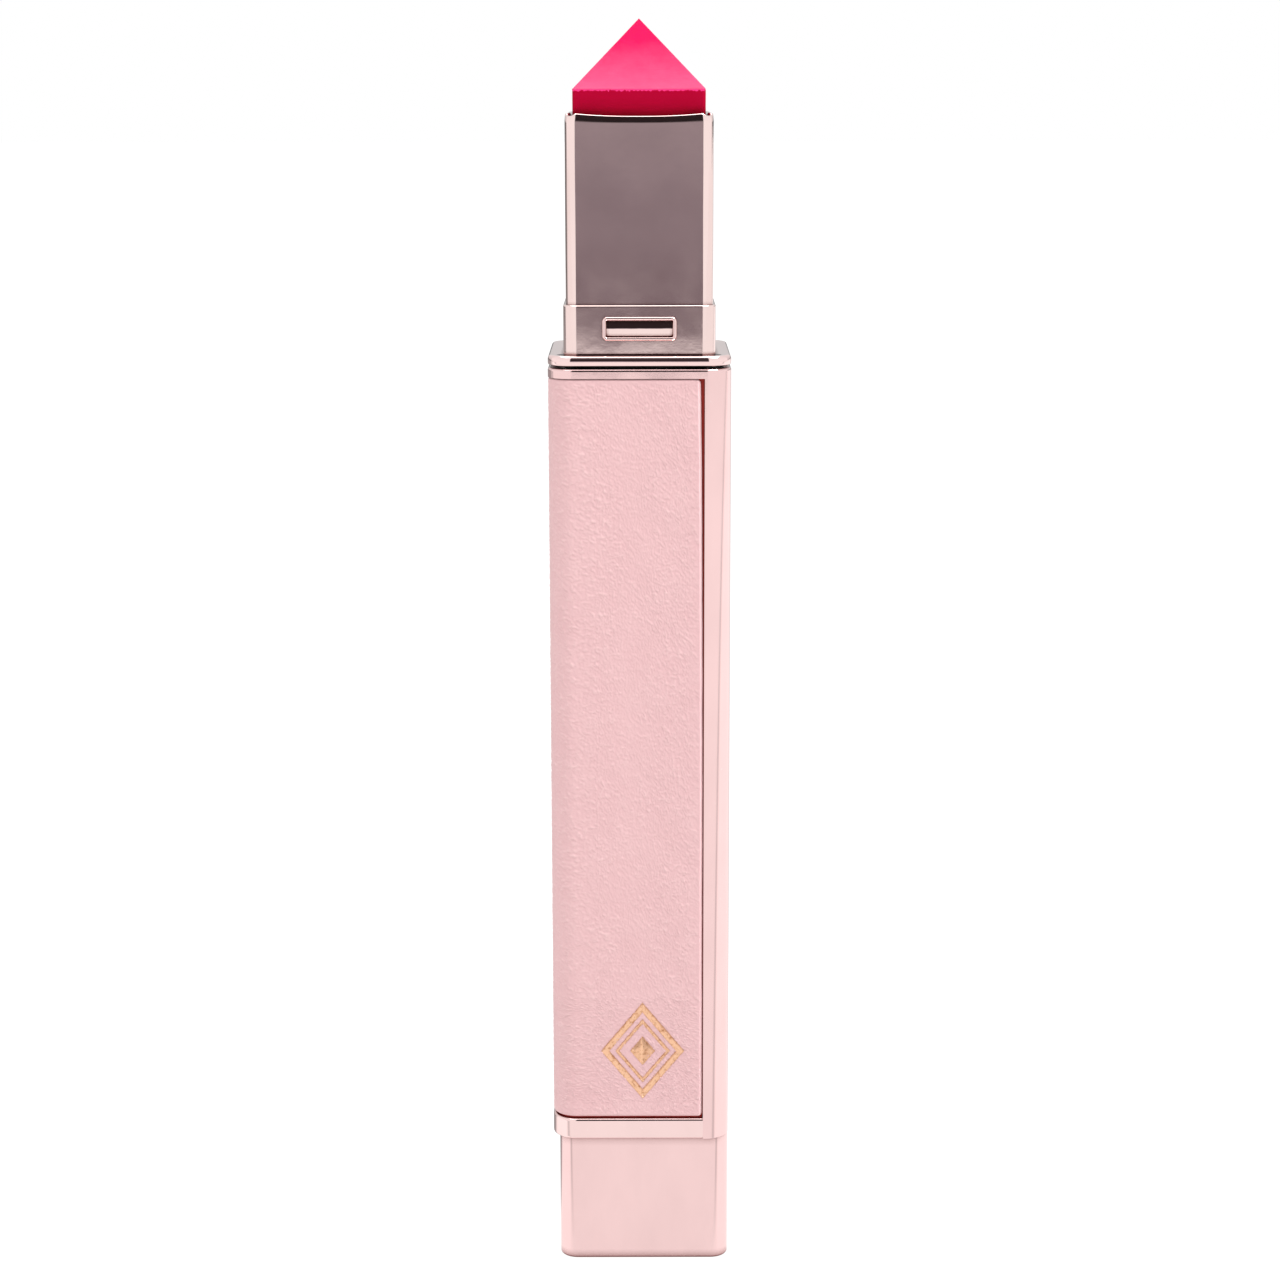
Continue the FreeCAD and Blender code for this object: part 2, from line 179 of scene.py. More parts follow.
class Shader(Graph):
    """One procedural Principled material."""

    def __init__(self, name, color, roughness, metallic=0.0):
        self.mat = bpy.data.materials.new(name)
        self.mat.use_nodes = True
        super().__init__(self.mat.node_tree)
        self.bsdf = self.tree.nodes["Principled BSDF"]
        self.bsdf.inputs["Base Color"].default_value = (*color, 1)
        self.bsdf.inputs["Roughness"].default_value = roughness
        self.bsdf.inputs["Metallic"].default_value = metallic
        self.height = None

    def coords(self, scale=(1, 1, 1), attribute=None):
        """Object coordinates in millimetres, or a stored vector attribute."""
        if attribute:
            source = self.node("ShaderNodeAttribute", attribute_name=attribute).outputs["Vector"]
            factor = 1.0
        else:
            source = self.node("ShaderNodeTexCoord").outputs["Object"]
            factor = 1.0 / MM
        mapping = self.node("ShaderNodeMapping")
        mapping.inputs["Scale"].default_value = [s * factor for s in scale]
        self.link(source, mapping.inputs["Vector"])
        return mapping.outputs["Vector"]

    def noise(self, vector, scale, detail=3.0, roughness=0.55, distortion=0.0):
        made = self.node("ShaderNodeTexNoise", Scale=scale, Detail=detail,
                         Roughness=roughness, Distortion=distortion)
        self.link(vector, made.inputs["Vector"])
        return made.outputs["Fac"]

    def openness(self, distance, samples=5):
        """1 on open ground, less where other surfaces are within the distance."""
        made = self.node("ShaderNodeAmbientOcclusion", samples=samples, Distance=distance)
        return made.outputs["AO"]

    def colour(self, socket):
        self.link(socket, self.bsdf.inputs["Base Color"])

    def rough(self, socket):
        self.link(socket, self.bsdf.inputs["Roughness"])

    def bump(self, value, distance):
        """Add a bump; several stack on each other."""
        made = self.node("ShaderNodeBump", Strength=1.0, Distance=distance)
        self.link(value, made.inputs["Height"])
        if self.height is not None:
            self.link(self.height, made.inputs["Normal"])
        self.height = made.outputs["Normal"]
        self.link(self.height, self.bsdf.inputs["Normal"])


def shade(color, share):
    """The same colour, darker or lighter."""
    return tuple(c * share for c in color)


# ---- Materials --------------------------------------------------------------
CREASE_SHADE_BROWN = (0.16, 0.035, 0.028)   # painted shade in the creases and joints of the plating
SPECK_PINK = (0.97, 0.86, 0.84)
FINE_RIPPLE = 0.0004 * MM
BROAD_RIPPLE = 10 * FINE_RIPPLE


def plated(name, color, roughness, smudge, shade_reach=0.30 * MM):
    """Plated metal: faint ripple, handling smudges, and red-brown shade painted into creases and joints."""
    s = Shader(name, color, roughness, metallic=1.0)
    plain = s.coords()
    smudges = s.noise(plain, 0.35, detail=4.0)
    s.rough(s.spread(smudges, 0.3, 0.7, roughness, roughness + smudge))
    cloud = s.noise(s.coords(scale=(0.30, 0.30, 0.16)), 1.0, detail=4.0)
    tone = s.mix(s.spread(cloud, 0.35, 0.7, 0, 1), color, shade(color, 0.955))
    specks = s.spread(s.noise(plain, 3.4, detail=1.0), 0.765, 0.80, 0.0, 0.35)
    tone = s.mix(specks, tone, SPECK_PINK)
    # painted shade: darker red-brown where other surfaces are close, in creases and joints
    depth = s.spread(s.openness(shade_reach), 0.42, 0.95, 1.0, 0.0)
    s.colour(s.mix(depth, tone, CREASE_SHADE_BROWN))
    s.bump(s.noise(plain, 0.45, detail=2.0), BROAD_RIPPLE)
    s.bump(s.noise(plain, 6.0, detail=3.0), FINE_RIPPLE)
    return s.mat


def moulded(name, color, roughness, grain=0.004):
    """Injection-moulded plastic with a spark-eroded grain and slight flow marks."""
    s = Shader(name, color, roughness)
    plain = s.coords()
    flow = s.noise(s.coords(scale=(0.5, 0.5, 0.15)), 1.0, detail=3.0)
    s.colour(s.mix(s.spread(flow, 0.3, 0.7, 0, 1), color, shade(color, 0.88)))
    s.rough(s.spread(s.noise(plain, 2.0), 0.3, 0.7, roughness, roughness + 0.12))
    s.bump(s.noise(plain, 14.0, detail=2.0), grain * MM)
    return s.mat


def steel(name, color, roughness):
    """Bare drawn steel with fine lines."""
    s = Shader(name, color, roughness, metallic=1.0)
    lines = s.noise(s.coords(scale=(12, 12, 0.8)), 1.0, detail=4.0)
    s.rough(s.spread(lines, 0.3, 0.7, roughness - 0.08, roughness + 0.12))
    s.bump(lines, 0.002 * MM)
    return s.mat


def rubber(name, color):
    """Dull rubber or foam."""
    s = Shader(name, color, 0.75)
    grain = s.noise(s.coords(), 9.0, detail=4.0)
    s.colour(s.mix(s.spread(grain, 0.35, 0.65, 0, 1), color, shade(color, 1.5)))
    s.bump(grain, 0.01 * MM)
    return s.mat


def leather():
    """Pale pink faux leather: pores and fine creases over the modelled grain, with painted highlights on the
    grain's crests and painted shade in its hollows and in the dent round the ornament.
    """
    base = (0.800, 0.502, 0.512)
    pale = (0.818, 0.524, 0.532)
    shaded_tone = (0.700, 0.385, 0.402)
    crest_highlight = (0.885, 0.615, 0.605)
    s = Shader("pink_faux_leather", base, 0.5)
    s.bsdf.inputs["Sheen Weight"].default_value = 0.25
    s.bsdf.inputs["Sheen Roughness"].default_value = 0.4
    s.bsdf.inputs["Specular IOR Level"].default_value = 0.45
    flat = s.coords(attribute="wrap_mm")
    relief = s.node("ShaderNodeAttribute", attribute_name="relief").outputs["Fac"]
    cloud = s.noise(flat, 0.25, detail=3.0)
    tone = s.mix(s.spread(cloud, 0.3, 0.7, 0, 1), base, pale)
    # painted shade in the grain's hollows and in the dent round the ornament
    tone = s.mix(s.spread(relief, -0.7, 0.1, 0.25, 0.0), tone, shaded_tone)
    # painted highlight on the grain's crests
    s.colour(s.mix(s.spread(relief, 0.2, 1.0, 0.0, 0.40), tone, crest_highlight))
    s.rough(s.spread(relief, -1.0, 1.0, 0.62, 0.40))
    s.bump(s.noise(flat, 7.0, detail=2.0, distortion=0.4), 0.004 * MM)
    s.bump(s.noise(flat, 16.0, detail=2.0), 0.003 * MM)
    return s.mat


def gold_foil():
    """Stamped foil: mottled, chipped through to the wrap in places, a little wrinkled, with painted shade on
    its sunken edges.
    """
    bright = (0.95, 0.58, 0.37)
    bronze = (0.50, 0.20, 0.085)
    recess_shade = (0.20, 0.07, 0.022)
    bare_wrap = (0.76, 0.45, 0.46)
    s = Shader("stamped_gold_foil", bright, 0.3, metallic=1.0)
    plain = s.coords()
    mottle = s.noise(plain, 3.0, detail=5.0, roughness=0.7)
    tone = s.mix(s.spread(mottle, 0.52, 0.72, 0, 1), bright, bronze)
    flakes = s.noise(s.coords(scale=(1.6, 1.6, 4.0)), 1.4, detail=3.0)
    chips = s.spread(flakes, 0.68, 0.71, 0.0, 1.0)
    # painted shade: dark brown where the foil's sunken edges are close to the wrap
    tone = s.mix(s.spread(s.openness(0.14 * MM), 0.55, 0.93, 0.9, 0.0), tone, recess_shade)
    s.colour(s.mix(chips, tone, bare_wrap))
    s.link(s.spread(chips, 0.0, 1.0, 1.0, 0.0), s.bsdf.inputs["Metallic"])
    s.rough(s.spread(mottle, 0.3, 0.7, 0.22, 0.48))
    s.bump(s.noise(plain, 4.2, detail=4.0), 0.022 * MM)
    return s.mat


def lip_wax():
    """Magenta wax: painted sheen that pales the facets toward the shoulder, a painted highlight along the
    shoulder, and painted shade on the walls near the sleeve's mouth.
    """
    shaded_tone = (0.21, 0.0003, 0.008)
    side = (0.48, 0.001, 0.034)
    facet = (0.60, 0.0003, 0.070)
    painted_sheen = (0.72, 0.080, 0.185)
    shoulder_highlight = (0.98, 0.05, 0.26)
    shoulder = SHOULDER_Z / MM
    s = Shader("magenta_wax", side, 0.42)
    s.bsdf.inputs["Subsurface Weight"].default_value = 0.12
    s.bsdf.inputs["Subsurface Radius"].default_value = (1.0, 0.15, 0.25)
    s.bsdf.inputs["Subsurface Scale"].default_value = 0.6 * MM
    s.bsdf.inputs["Specular IOR Level"].default_value = 0.04
    plain = s.coords()
    height = s.split(plain)[2]
    cloud = s.noise(plain, 0.8, detail=4.0)
    drift = s.calc("ADD", height, s.spread(cloud, 0.3, 0.7, -0.35, 0.35))
    crumbs = s.noise(s.coords(scale=(1, 1, 0.4)), 5.0, detail=3.0)
    edge = s.calc("ADD", height, s.spread(crumbs, 0.3, 0.7, -0.09, 0.09))
    # painted sheen: the facets pale toward the shoulder
    pale = s.spread(drift, shoulder - 0.3, shoulder + 3.7, 1.0, 0.0)
    above = s.spread(height, shoulder - 0.10, shoulder + 0.02, 0.0, 1.0)
    # painted highlight along the shoulder
    lit = s.spread(edge, shoulder - 0.15, shoulder - 0.09, 0.0, 1.0)
    # painted shade on the walls where the sleeve's mouth is close
    clear = s.spread(s.openness(2.2 * MM, samples=6), 0.76, 1.02, 0.0, 1.0)
    walls = s.mix(clear, shaded_tone, side)
    body = s.mix(above, walls, s.mix(pale, facet, painted_sheen))
    below = s.spread(above, 0.0, 1.0, 1.0, 0.0)
    s.colour(s.mix(below, body, s.mix(lit, walls, shoulder_highlight)))
    s.rough(s.spread(s.noise(plain, 3.0), 0.3, 0.7, 0.36, 0.52))
    s.bump(s.noise(s.coords(scale=(0.8, 0.8, 6.0)), 1.0, detail=4.0), 0.010 * MM)
    s.bump(s.noise(plain, 12.0, detail=3.0), 0.006 * MM)
    return s.mat


def blank_label():
    """Plain coated paper label."""
    paper = (0.86, 0.83, 0.82)
    shadow = (0.80, 0.77, 0.76)
    s = Shader("blank_label", paper, 0.4)
    fibre = s.noise(s.coords(scale=(1, 3, 1)), 4.0, detail=5.0)
    s.colour(s.mix(s.spread(fibre, 0.35, 0.65, 0, 1), paper, shadow))
    s.bump(fibre, 0.004 * MM)
    return s.mat


ROSE_SHELL = (0.90, 0.64, 0.63)
ROSE_TRIM = (0.93, 0.70, 0.68)
ROSE_MIRROR = (0.90, 0.71, 0.68)

FINISHES = {
    "rose_gold_shell": plated("rose_gold_satin", ROSE_SHELL, 0.055, smudge=0.05, shade_reach=0.8 * MM),
    "rose_gold_trim": plated("rose_gold_polished", ROSE_TRIM, 0.03, smudge=0.03),
    "rose_mirror": plated("rose_gold_mirror", ROSE_MIRROR, 0.045, smudge=0.05),
    "faux_leather": leather(),
    "backing_film": moulded("backing_film", (0.55, 0.032, 0.020), 0.6),
    "gold_foil": gold_foil(),
    "base_plastic": moulded("base_plug_plastic", (0.72, 0.42, 0.40), 0.38),
    "label_film": blank_label(),
    "foam_pad": rubber("foam_pad", (0.05, 0.05, 0.055)),
    "steel": steel("drawn_steel", (0.55, 0.55, 0.56), 0.35),
    "inner_plastic": moulded("natural_acetal", (0.80, 0.79, 0.76), 0.42),
    "slip_plastic": moulded("dark_slip_plastic", (0.02, 0.015, 0.016), 0.45),
    "o_ring_rubber": rubber("o_ring_rubber", (0.012, 0.012, 0.013)),
    "cup_plastic": moulded("cup_plastic", (0.82, 0.80, 0.79), 0.25, grain=0.001),
    "lip_wax": lip_wax(),
}


def paint_cad_nodes():
    """Give every carried-over CAD node the finish of its record slot."""
    for part in frame["record"]["subparts"]:
        mesh = nodes[part["node"]].data
        mesh.materials.clear()
        mesh.materials.append(FINISHES[part["material_slot"]])


# ---- Mesh helpers -----------------------------------------------------------
def new_object(name, verts, faces, material):
    """Smooth-shaded mesh object from vertex and face lists."""
    mesh = bpy.data.meshes.new(name)
    mesh.from_pydata([tuple(v) for v in verts], [], faces)
    mesh.validate()
    mesh.update()
    mesh.materials.append(material)
    mesh.shade_smooth()
    made = bpy.data.objects.new(name, mesh)
    bpy.context.scene.collection.objects.link(made)
    return made


def closed_object(name, verts, faces, material):
    """Object of a closed mesh, with all its normals pointing out."""
    made = new_object(name, verts, faces, material)
    work = bmesh.new()
    work.from_mesh(made.data)
    bmesh.ops.recalc_face_normals(work, faces=work.faces)
    work.to_mesh(made.data)
    work.free()
    return made


def grid_faces(rows, columns, start=0, closed=False):
    """Quads of a grid stored row by row."""
    faces = []
    last = columns if closed else columns - 1
    for r in range(rows - 1):
        for c in range(last):
            d = (c + 1) % columns
            low = start + r * columns
            high = low + columns
            faces.append((low + c, low + d, high + d, high + c))
    return faces


def grid_border(rows, columns):
    """Vertices round the edge of a grid: first row, last column, last row back, first column back."""
    border = list(range(columns))
    border += [r * columns + columns - 1 for r in range(1, rows)]
    border += [(rows - 1) * columns + c for c in range(columns - 2, -1, -1)]
    border += [r * columns for r in range(rows - 2, 0, -1)]
    return border


def loop_faces(first, second):
    """Quads between two closed loops of vertex numbers."""
    faces = []
    for k, here in enumerate(first):
        after = (k + 1) % len(first)
        faces.append((here, first[after], second[after], second[k]))
    return faces


def ring_object(name, rings, material):
    """Closed solid through rings of points; the last ring joins the first."""
    count = len(rings[0])
    verts = [point for ring in rings for point in ring]
    faces = grid_faces(len(rings), count, closed=True)
    faces += loop_faces(range(len(verts) - count, len(verts)), range(count))
    return closed_object(name, verts, faces, material)


def square_ring(half, radius, per_side=34, per_corner=5):
    """Rounded square with evenly divided sides: list of (x, y, nx, ny)."""
    ring = []
    inner = half - radius
    for k in range(4):
        corner_x = inner * (1 if k in (0, 3) else -1)
        corner_y = inner * (1 if k in (0, 1) else -1)
        for i in range(per_corner):
            a = (k + i / per_corner) * math.pi / 2
            nx, ny = math.cos(a), math.sin(a)
            ring.append((corner_x + radius * nx, corner_y + radius * ny, nx, ny))
        a = (k + 1) * math.pi / 2
        nx, ny = math.cos(a), math.sin(a)
        for i in range(per_side):
            run = 2 * inner * i / per_side
            ring.append((corner_x + radius * nx - ny * run, corner_y + radius * ny + nx * run, nx, ny))
    return ring


def along_side(x, y, nx, ny):
    """Distance from the middle of a side, measured along it."""
    return x * -ny + y * nx


def side_shift(nx, ny):
    """Offset that gives each side of a square its own stretch of noise."""
    return 10.0 * round(math.atan2(ny, nx) / (math.pi / 2))


# ---- Foil ornament outline, shared by the foil and the dent in the wrap ------
FOIL_MID_X = (foil_lo.x + foil_hi.x) / 2
FOIL_MID_Z = (foil_lo.z + foil_hi.z) / 2
FOIL_HALF_X = (foil_hi.x - foil_lo.x) / 2
FOIL_HALF_Z = (foil_hi.z - foil_lo.z) / 2
FOIL_INRADIUS = FOIL_HALF_X * FOIL_HALF_Z / math.hypot(FOIL_HALF_X, FOIL_HALF_Z)
FRAME_OUT, FRAME_IN = 1.0, 0.8    # scales of the nested lozenges
LINE_OUT, LINE_IN = 0.66, 0.56
CENTRE = 0.3
STAMP = 0.095 * MM                # depth of the stamped ornament
STAMP_SOFT = 0.11 * MM            # width of its sloping sides
STAMP_OVER = 0.02 * MM            # how far the slope reaches outside the outline


def pressed_in(distance):
    """1 where the stamp has pressed to full depth, 0 outside its outline."""
    return 1 - smoothstep(-STAMP_SOFT, STAMP_OVER, distance)


def ornament_distance(x, z):
    """Signed distance to the foil ornament on the front, negative inside."""
    level = np.abs(x - FOIL_MID_X) / FOIL_HALF_X + np.abs(z - FOIL_MID_Z) / FOIL_HALF_Z
    broad = np.maximum(level - FRAME_OUT, FRAME_IN - level)
    fine = np.maximum(level - LINE_OUT, LINE_IN - level)
    return np.minimum(np.minimum(broad, fine), level - CENTRE) * FOIL_INRADIUS


# ---- Faux leather wrap ------------------------------------------------------
EDGE = 0.17 * MM          # radius of the turned edges
PANEL_CORNER = 0.35 * MM  # rounded corners of the cut sheet
PANEL_REACH = 1.2 * MM    # how far along the sheet its corners are rounded
GRID = 0.12 * MM          # mesh spacing of the wrap
FRONT_GRID = 0.088 * MM   # closer spacing on the front and the front corner
FOIL_GRID = 0.053 * MM    # spacing round the stamped ornament
GRAIN_H = 0.032 * MM      # height of the grain
FACE_DROP = 1.2 * GRAIN_H  # lowers the face to make room for the grain
SEAM_OPEN = 0.17 * MM     # extra gap beside the spine at the top
SEAM_CLOSE = 0.08 * MM    # how far the gap closes lower down
SEAM_FADE = 14.0 * MM
SEAM_REACH = 2.5 * MM     # width of the strip that moves with the seam
SEAM_WANDER = 0.02 * MM
DENT_REACH = 0.22 * MM    # width of the painted shade in the dent round the ornament
ROUND = 0.999             # keeps a quarter round's last slope finite
STEEP_ANGLE = math.radians(38)    # lean of the creases beside the front seam
SHALLOW_ANGLE = math.radians(14)  # and everywhere past the turn
TURN_FROM, TURN_TO = 3.0, 8.5     # where the lean changes, in millimetres from the front seam
TURN_WANDER, TURN_SIZE = 1.6, 4.0
BEND, BEND_SIZE = 0.5, 2.6        # how far the creases wander, and over what length
LARGE_CREASE = (0.50, 0.19)       # length and spacing, in millimetres
SMALL_CREASE = (0.40, 0.16)
CREASE_BREAKS = (0.60, 0.36)
CREASE_GAIN, GRAIN_BASE, SWELL = 1.25, 0.45, 0.12


class WrapPath:
    """C-shaped path of the wrap seen from above, from the front seam to the rear seam."""

    def __init__(self):
        self.flat = wrap_hi.x - (-HALF + CORNER)
        self.arc = CORNER * math.pi / 2
        self.side = 2 * (HALF - CORNER)
        self.length = 2 * self.flat + 2 * self.arc + self.side

    def place(self, s):
        """(x, y, normal x, normal y) at distance s along the path."""
        inner = HALF - CORNER
        if s <= self.flat:
            return wrap_hi.x - s, -HALF, 0.0, -1.0
        s -= self.flat
        if s <= self.arc:
            nx, ny = -math.sin(s / CORNER), -math.cos(s / CORNER)
            return -inner + CORNER * nx, -inner + CORNER * ny, nx, ny
        s -= self.arc
        if s <= self.side:
            return -HALF, -inner + s, -1.0, 0.0
        s -= self.side
        if s <= self.arc:
            nx, ny = -math.cos(s / CORNER), math.sin(s / CORNER)
            return -inner + CORNER * nx, inner + CORNER * ny, nx, ny
        s -= self.arc
        return -inner + s, HALF, 0.0, 1.0


def edge_spaced(length, step, radius):
    """Positions from 0 to length, close together over the rounded edges."""
    turn = [radius * (1 - math.cos(math.radians(a))) for a in range(0, 91, 18)]
    count = int((length - 2 * radius) / step)
    middle = np.linspace(radius, length - radius, count + 1)[1:-1]
    return np.concatenate([turn, middle, [length - t for t in reversed(turn)]])


def refine(values, low, high, step):
    """Replace the stretch from low to high with closer positions."""
    count = int((high - low) / step) + 1
    keep = values[(values < low) | (values > high)]
    return np.sort(np.concatenate([keep, np.linspace(low, high, count)]))


def quarter_round(distance, radius):
    """Drop of a rounded edge at a distance from it."""
    turn = np.clip((radius - distance) / radius, 0, 1)
    return radius * (1 - np.sqrt(1 - turn * turn * ROUND))


def wrinkles(x, y, angle, seed):
    """Broken creases of two sizes that lean at an angle; x and y in millimetres."""
    a = math.cos(angle) * x + math.sin(angle) * y
    b = -math.sin(angle) * x + math.cos(angle) * y

    def creases(size, offset):
        return lattice_noise(a / size[0], b / size[1], seed + offset)

    broken = smoothstep(-0.35, 0.25, creases(CREASE_BREAKS, 2))
    large = 1 - smoothstep(0.0, 0.26, np.abs(creases(LARGE_CREASE, 0)))
    small = 1 - smoothstep(0.0, 0.24, np.abs(creases(SMALL_CREASE, 1)))
    return 1.1 * large * (0.35 + 0.65 * broken) + 0.65 * small * (1 - 0.5 * broken)


def grain_height(s, z):
    """Grain of the wrap: short creases that lean beside the front seam and lie flatter further round."""
    x = s / MM
    y = z / MM
    bend_x = x + BEND * lattice_noise(x / BEND_SIZE, y / BEND_SIZE, 11)
    bend_y = y + BEND * lattice_noise(x / BEND_SIZE, y / BEND_SIZE, 12)
    steep = wrinkles(bend_x, bend_y, STEEP_ANGLE, 21)
    shallow = wrinkles(bend_x, bend_y, SHALLOW_ANGLE, 31)
    wander = TURN_WANDER * lattice_noise(x / TURN_SIZE, y / TURN_SIZE, 41)
    where = smoothstep(TURN_FROM, TURN_TO, x + wander)
    height = steep * (1 - where) + shallow * where
    swell = lattice_noise(x / 1.7, y / 2.3, 51) + 0.6 * lattice_noise(x / 0.8, y / 0.9, 52)
    return CREASE_GAIN * height - GRAIN_BASE + SWELL * swell


def seam_slide(s, v, z, length, height):
    """How far each point moves along the path: the seam gap and the sheet's rounded corners."""
    beside = smoothstep(SEAM_REACH, 0.0, s)
    fade = np.exp(-(wrap_hi.z - z) / SEAM_FADE)
    gap = (SEAM_OPEN * fade - SEAM_CLOSE * (1 - fade)) * beside
    wander = SEAM_WANDER * lattice_noise(z / (3.1 * MM), s * 0 + 0.37, 61) * beside
    rounded = quarter_round(np.minimum(v, height - v), PANEL_CORNER)
    front = rounded * smoothstep(PANEL_REACH, 0.0, s)
    rear = -rounded * smoothstep(PANEL_REACH, 0.0, length - s)
    return gap + wander + front + rear


def wrap_faces(rows, columns, border):
    """Outer grid, thin edges, and a back face of long strips; the back holds only border points."""
    faces = grid_faces(rows, columns)
    first = rows * columns
    back = range(first, first + len(border))
    faces += loop_faces(border, back)
    corner = columns - 1 + rows - 1          # border place of the last corner of the top row

    def over(column):
        return first + corner + columns - 1 - column

    for c in range(1, columns - 2):
        faces.append((first + c, first + c + 1, over(c + 1), over(c)))
    faces.append([first, first + 1, over(1), over(0)] + list(back[over(0) + 1 - first:]))
    faces.append([first + columns - 2] + list(back[columns - 1:corner + 1]) + [over(columns - 2)])
    return faces


def store_attribute(mesh, name, kind, field, values):
    """Point attribute that the leather material reads; the back face keeps zeros."""
    mesh.attributes.new(name, kind, "POINT").data.foreach_set(field, values.reshape(-1))


def build_wrap():
    """Thin C-shaped skin with turned edges, leather grain and the pressed ornament."""
    path = WrapPath()
    height = wrap_hi.z - wrap_lo.z
    along = refine(edge_spaced(path.length, GRID, EDGE), EDGE, path.flat + path.arc, FRONT_GRID)
    up = edge_spaced(height, FRONT_GRID, EDGE)
    pad = 3 * STAMP_SOFT
    along = refine(along, wrap_hi.x - foil_hi.x - pad, wrap_hi.x - foil_lo.x + pad, FOIL_GRID)
    up = refine(up, foil_lo.z - wrap_lo.z - pad, foil_hi.z - wrap_lo.z + pad, FOIL_GRID)
    s, v = np.meshgrid(along, up)
    z = wrap_lo.z + v
    placed = np.array([path.place(a) for a in along])
    x, y, nx, ny = (np.broadcast_to(placed[:, i], s.shape) for i in range(4))

    to_edge = np.minimum(np.minimum(s, path.length - s), np.minimum(v, height - v))
    stamp = np.where(s < path.flat, ornament_distance(x, z), 1.0)
    pressed = pressed_in(stamp)
    grain = grain_height(s, z) * smoothstep(0.0, 2.5 * EDGE, to_edge) * (1 - pressed)
    lift = GRAIN_H * grain - STAMP * pressed - quarter_round(to_edge, EDGE) - FACE_DROP
    slide = seam_slide(s, v, z, path.length, height)

    def layer(depth):
        """The points at a depth above the path's face, moved along it by the slide."""
        return np.stack([x + nx * depth + ny * slide, y + ny * depth - nx * slide, z], axis=-1).reshape(-1, 3)

    rows, columns = s.shape
    outer, inner = layer(lift), layer(-SKIN)
    border = grid_border(rows, columns)
    verts = list(outer) + [inner[i] for i in border]
    made = closed_object("faux_leather_wrap", verts, wrap_faces(rows, columns, border),
                         FINISHES["faux_leather"])

    place = np.zeros((len(verts), 3))
    place[:len(outer), 0] = (s / MM).reshape(-1)
    place[:len(outer), 1] = (z / MM).reshape(-1)
    relief = np.zeros(len(verts))
    # the relief carries the grain and the painted shade of the dent round the ornament
    relief[:len(outer)] = (grain - 0.6 * smoothstep(DENT_REACH, 0.0, stamp)).reshape(-1)
    store_attribute(made.data, "wrap_mm", "FLOAT_VECTOR", "vector", place)
    store_attribute(made.data, "relief", "FLOAT", "value", relief)
    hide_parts("leather_wrap")
    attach(made, "case_base")


# ---- Foil ornament ----------------------------------------------------------
FOIL_LIFT = 0.015 * MM    # foil above the pressed face of the wrap
FOIL_THICK = 0.05 * MM
FOIL_INSETS = [d * MM for d in (0.0, 0.02, 0.04, 0.06, 0.08, 0.10)]
FOIL_WANDER = 0.24 * MM   # spacing of the uneven edge
FOIL_ROUGH = 0.022 * MM
FOIL_DENT = 0.006 * MM
WIDE_BAND = 0.15          # a band wider than this, in lozenge scale, gets more loops


def lozenge_loop(scale, depth, inset, per_side=64):
    """Closed loop of points on a lozenge, with slightly uneven foil edges."""
    scale = max(scale - inset / FOIL_INRADIUS, 0.002)
    tips = [(FOIL_HALF_X, 0), (0, FOIL_HALF_Z), (-FOIL_HALF_X, 0), (0, -FOIL_HALF_Z)]
    points = []
    for k in range(4):
        ax, az = tips[k]
        bx, bz = tips[(k + 1) % 4]
        for i in range(per_side):
            t = i / per_side
            x = FOIL_MID_X + (ax + (bx - ax) * t) * scale
            z = FOIL_MID_Z + (az + (bz - az) * t) * scale
            rough = FOIL_ROUGH * point_noise(x / FOIL_WANDER, z / FOIL_WANDER, 71)
            dent = FOIL_DENT * point_noise(x / FOIL_WANDER, z / FOIL_WANDER, 72)
            points.append(Vector((x + rough, -HALF + depth + dent, z - rough)))
    return points


def foil_depth(inset):
    """Depth of the foil below the face of the wrap at a distance inside its outline."""
    return STAMP * float(pressed_in(np.array(-inset))) + FACE_DROP - FOIL_LIFT


def foil_band(outer, inner, verts, faces):
    """One foil shape between two lozenges; inner None fills the centre."""
    loops = [lozenge_loop(outer, foil_depth(d), d) for d in FOIL_INSETS]
    full = foil_depth(STAMP_SOFT)
    if inner is None:
        shares = (0.9, 0.75, 0.6, 0.45, 0.3, 0.15, 0.04)
        loops += [lozenge_loop((outer - 0.05) * share, full, 0) for share in shares]
    else:
        shares = (0.35, 0.5, 0.65) if outer - inner > WIDE_BAND else (0.5,)
        loops += [lozenge_loop(outer + (inner - outer) * share, full, 0) for share in shares]
        loops += [lozenge_loop(inner, foil_depth(d), -d) for d in reversed(FOIL_INSETS)]
    count = len(loops[0])
    start = len(verts)
    for loop in loops:
        verts.extend(loop)
    faces.extend(grid_faces(len(loops), count, start, closed=True))

    def back_of(loop):
        """Add the same loop at the foil's back, and give its vertex numbers."""
        first = len(verts)
        verts.extend(Vector((v.x, v.y + FOIL_THICK, v.z)) for v in loop)
        return range(first, first + count)

    rim = range(start, start + count)
    last = range(start + (len(loops) - 1) * count, start + len(loops) * count)
    under = back_of(loops[0])
    faces.extend(loop_faces(rim, under))
    if inner is None:
        faces.append(tuple(last))
        faces.append(tuple(reversed(under)))
    else:
        far = back_of(loops[-1])
        faces.extend(loop_faces(last, far))
        faces.extend(loop_faces(under, far))


def build_foil():
    """Foil pressed into the wrap: broad frame, fine line and solid centre."""
    verts, faces = [], []
    foil_band(FRAME_OUT, FRAME_IN, verts, faces)
    foil_band(LINE_OUT, LINE_IN, verts, faces)
    foil_band(CENTRE, None, verts, faces)
    made = closed_object("gold_foil_ornament", verts, faces, FINISHES["gold_foil"])
    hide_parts("foil_ornament")
    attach(made, "case_base")


